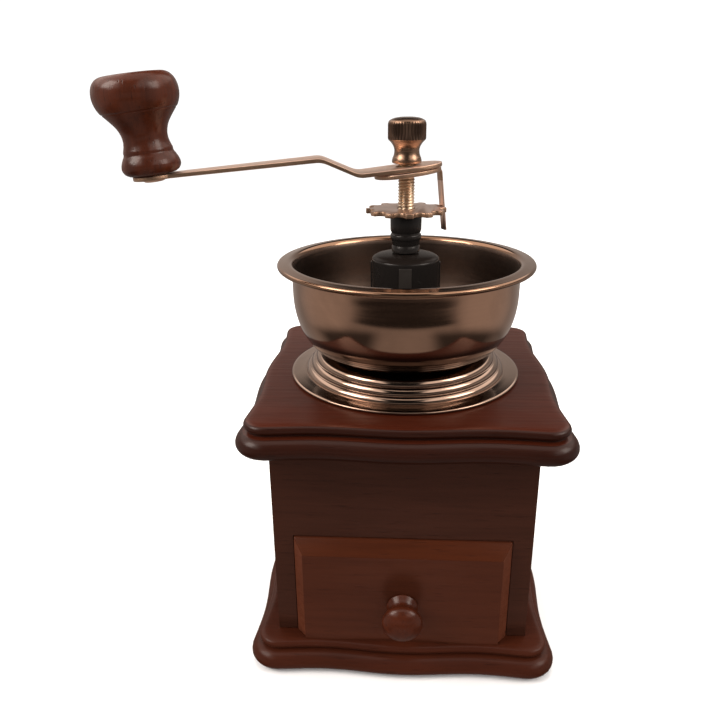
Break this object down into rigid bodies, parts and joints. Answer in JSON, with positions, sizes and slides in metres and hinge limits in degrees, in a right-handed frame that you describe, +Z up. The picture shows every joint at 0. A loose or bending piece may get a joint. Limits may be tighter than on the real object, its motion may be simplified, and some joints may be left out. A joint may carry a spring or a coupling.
{
  "type": "burr coffee grinder",
  "caption": "Hand-cranked burr coffee grinder: a wooden box with a drawer and wavy-edged boards, an open metal bowl on a stepped ring, and a crank arm with a turned handle.",
  "frame": {"origin": "centre of the base board's underside, on the axis of the grinder's shaft", "axes": "+Z up along the shaft, -Y out of the drawer's front, +X to the right seen from the front"},
  "size_m": [0.187, 0.14, 0.2417],
  "materials": {
    "dark_wood": "glossy mahogany lacquer",
    "plain_wood": "bare, planed",
    "bronze_plating": "polished bronze-tinted plating",
    "copper_plated_steel": "satin copper-tinted plating, worn edges",
    "black_plastic": "glossy moulded",
    "burr_iron": "machined, lightly oiled",
    "plain_steel": "zinc-plated"
  },
  "bodies": {
    "case": {"base_board": "dark_wood", "top_board": "dark_wood", "base_screw_1": "plain_steel", "base_screw_2": "plain_steel", "base_screw_3": "plain_steel", "base_screw_4": "plain_steel", "front_panel": "dark_wood", "back_panel": "dark_wood", "left_panel": "dark_wood", "right_panel": "dark_wood", "drawer_runner_left": "plain_wood", "drawer_runner_right": "plain_wood", "stepped_ring": "bronze_plating", "hopper_bowl": "bronze_plating", "bearing_bridge": "black_plastic", "bearing_sleeve": "black_plastic", "burr_housing": "burr_iron", "housing_nut": "burr_iron", "outer_burr": "burr_iron", "bridge_screw_1": "plain_steel", "bridge_screw_2": "plain_steel", "bridge_screw_3": "plain_steel"},
    "drawer": {"drawer_front": "dark_wood", "drawer_side_left": "plain_wood", "drawer_side_right": "plain_wood", "drawer_back": "plain_wood", "drawer_bottom": "plain_wood", "drawer_knob": "dark_wood", "drawer_knob_screw": "plain_steel"},
    "adjuster": {"star_disc": "copper_plated_steel"},
    "crank": {"shaft": "copper_plated_steel", "inner_burr": "burr_iron", "burr_washer": "plain_steel", "burr_nut": "plain_steel", "spring": "plain_steel", "lock_plate": "copper_plated_steel", "crank_arm": "copper_plated_steel", "handle_pin": "copper_plated_steel"},
    "handle": {"handle_knob": "dark_wood"},
    "cap": {"cap_nut": "bronze_plating"}
  },
  "joints": [
    {"name": "crank_turn", "type": "hinge", "parent": "case", "child": "adjuster", "pos_m": [0, 0, 0.18695], "axis": [0, 0, 1], "continuous": true},
    {"name": "grind_adjust", "type": "slide", "parent": "adjuster", "child": "crank", "axis": [0, 0, 1], "range_m": [0, 0.0015], "deforming": ["spring"]},
    {"name": "handle_spin", "type": "hinge", "parent": "crank", "child": "handle", "pos_m": [-0.10002, -0.01406, 0.20153], "axis": [-0.1121, -0.0158, 0.9936], "continuous": true},
    {"name": "cap_nut_turn", "type": "hinge", "parent": "crank", "child": "cap", "pos_m": [0, 0, 0.2058], "axis": [0, 0, 1], "range_deg": [0, 360]},
    {"name": "drawer_slide", "type": "slide", "parent": "case", "child": "drawer", "axis": [0, -1, 0], "range_m": [0, 0.075]}
  ]
}
